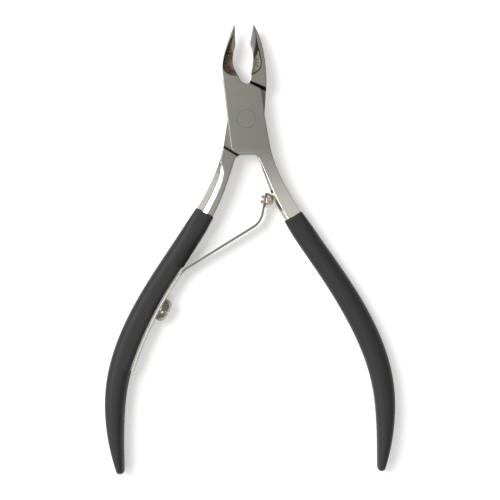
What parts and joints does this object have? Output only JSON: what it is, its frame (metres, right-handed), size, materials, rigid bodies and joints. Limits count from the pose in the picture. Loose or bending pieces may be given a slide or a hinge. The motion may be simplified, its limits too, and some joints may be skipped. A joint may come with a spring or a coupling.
{
  "type": "cuticle nipper",
  "caption": "Cuticle nipper with lap-jointed steel levers, hollow-ground jaws, soft-coated handles and a leaf spring with a glide button.",
  "frame": {"origin": "on the pivot axis, in the resting plane under the back face", "axes": "+X to the right handle, +Y to the jaw tips, +Z along the pivot axis, out of the front face"},
  "size_m": [0.0726, 0.112, 0.006],
  "materials": {
    "steel": "satin, ground",
    "rivet_steel": "ground flush with the plates",
    "grip_coat": "soft matt dip coat",
    "spring_steel": "tempered strip",
    "screw_nickel": "nickel plated",
    "button_metal": "turned, worn"
  },
  "bodies": {
    "front": {"front_lever": "steel", "right_grip": "grip_coat", "pivot_rivet": "rivet_steel"},
    "back": {"back_lever": "steel", "left_grip": "grip_coat", "spring_backing": "spring_steel", "spring_base": "spring_steel", "spring_screw": "screw_nickel"},
    "spring": {"spring_arm": "spring_steel", "glide_button": "button_metal"}
  },
  "joints": [
    {"name": "pivot", "type": "hinge", "parent": "front", "child": "back", "pos_m": [0, 0, 0], "axis": [0, 0, 1], "range_deg": [-5, 11], "stiffness_Nm_per_rad": 1},
    {"name": "spring_flex", "type": "hinge", "parent": "back", "child": "spring", "pos_m": [-0.01708, -0.03858, 0], "axis": [0, 0, 1], "range_deg": [-6.2, 13.4], "deforming": ["spring_arm", "glide_button"]}
  ],
  "couplings": [
    {"joint": "spring_flex", "follows": "pivot", "ratio": 1.205}
  ]
}
